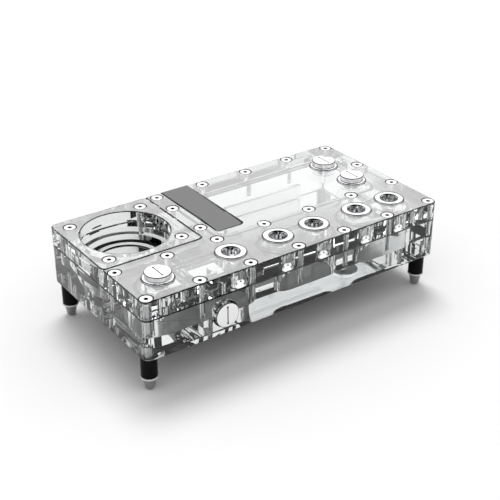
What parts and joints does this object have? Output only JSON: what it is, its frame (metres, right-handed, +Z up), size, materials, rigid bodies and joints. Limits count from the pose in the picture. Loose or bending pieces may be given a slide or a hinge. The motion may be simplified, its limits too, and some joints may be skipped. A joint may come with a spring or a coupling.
{
  "type": "water cooling distribution plate",
  "caption": "Clear block with a reservoir, milled channels, a round pump seat, threaded ports with rings, stop plugs, a grey badge strip and rubber-tipped feet.",
  "frame": {"origin": "on the surface that the feet stand on, under the middle of the whole object", "axes": "+X along the plate's length with the pump opening at -X, +Y from the port side to the back, +Z up"},
  "size_m": [0.25, 0.1324, 0.0751],
  "materials": {
    "clear": "clear polished acrylic",
    "chrome": "polished chrome plate",
    "steel": "plain steel",
    "badge": "grey anodised, satin",
    "black_rubber": "black rubber",
    "grey_rubber": "translucent grey silicone",
    "black_plastic": "gloss black",
    "foot_rubber": "soft grey rubber"
  },
  "bodies": {
    "root": {"body_block": "clear", "top_plate": "clear", "pump_frame": "clear", "pump_seal_ring": "black_rubber", "badge_plate": "badge", "reservoir_gasket": "grey_rubber", "channel_gasket_left": "grey_rubber", "channel_gasket_middle": "grey_rubber", "channel_gasket_right": "grey_rubber", "port_insert_1": "chrome", "port_insert_2": "chrome", "port_insert_3": "chrome", "port_insert_4": "chrome", "port_insert_5": "chrome", "left_plug_insert": "chrome", "back_plug_insert": "chrome", "middle_plug_insert": "chrome", "drain_insert": "chrome", "insert_seals": "black_rubber", "cover_screws": "steel", "pump_frame_screws": "steel", "foot_post_front_left": "black_plastic", "foot_post_front_right": "black_plastic", "foot_post_back_left": "black_plastic", "foot_post_back_right": "black_plastic", "foot_tip_front_left": "foot_rubber", "foot_tip_front_right": "foot_rubber", "foot_tip_back_left": "foot_rubber", "foot_tip_back_right": "foot_rubber", "foot_studs": "steel"},
    "left_plug_seal_body": {"left_plug_seal": "black_rubber"},
    "left_plug_body": {"left_plug": "chrome"},
    "back_plug_seal_body": {"back_plug_seal": "black_rubber"},
    "back_plug_body": {"back_plug": "chrome"},
    "middle_plug_seal_body": {"middle_plug_seal": "black_rubber"},
    "middle_plug_body": {"middle_plug": "chrome"},
    "drain_plug_seal_body": {"drain_plug_seal": "black_rubber"},
    "drain_plug_body": {"drain_plug": "chrome"}
  },
  "joints": [
    {"name": "left_plug_lift", "type": "slide", "parent": "root", "child": "left_plug_seal_body", "axis": [0, 0, 1], "range_m": [0, 0.00802]},
    {"name": "left_plug_turn", "type": "hinge", "parent": "left_plug_seal_body", "child": "left_plug_body", "pos_m": [-0.1007, -0.04115, 0.07], "axis": [0, 0, 1], "range_deg": [0, 2160]},
    {"name": "back_plug_lift", "type": "slide", "parent": "root", "child": "back_plug_seal_body", "axis": [0, 0, 1], "range_m": [0, 0.00802]},
    {"name": "back_plug_turn", "type": "hinge", "parent": "back_plug_seal_body", "child": "back_plug_body", "pos_m": [0.0966, 0.03455, 0.07], "axis": [0, 0, 1], "range_deg": [0, 2160]},
    {"name": "middle_plug_lift", "type": "slide", "parent": "root", "child": "middle_plug_seal_body", "axis": [0, 0, 1], "range_m": [0, 0.00802]},
    {"name": "middle_plug_turn", "type": "hinge", "parent": "middle_plug_seal_body", "child": "middle_plug_body", "pos_m": [0.0973, 0.00155, 0.07], "axis": [0, 0, 1], "range_deg": [0, 2160]},
    {"name": "drain_plug_lift", "type": "slide", "parent": "root", "child": "drain_plug_seal_body", "axis": [0, -1, 0], "range_m": [0, 0.00802]},
    {"name": "drain_plug_turn", "type": "hinge", "parent": "drain_plug_seal_body", "child": "drain_plug_body", "pos_m": [-0.0637, -0.06115, 0.0411], "axis": [0, -1, 0], "range_deg": [0, 2160]}
  ],
  "couplings": [
    {"joint": "left_plug_lift", "follows": "left_plug_turn", "m_per_rad": 0.00021279},
    {"joint": "back_plug_lift", "follows": "back_plug_turn", "m_per_rad": 0.00021279},
    {"joint": "middle_plug_lift", "follows": "middle_plug_turn", "m_per_rad": 0.00021279},
    {"joint": "drain_plug_lift", "follows": "drain_plug_turn", "m_per_rad": 0.00021279}
  ]
}
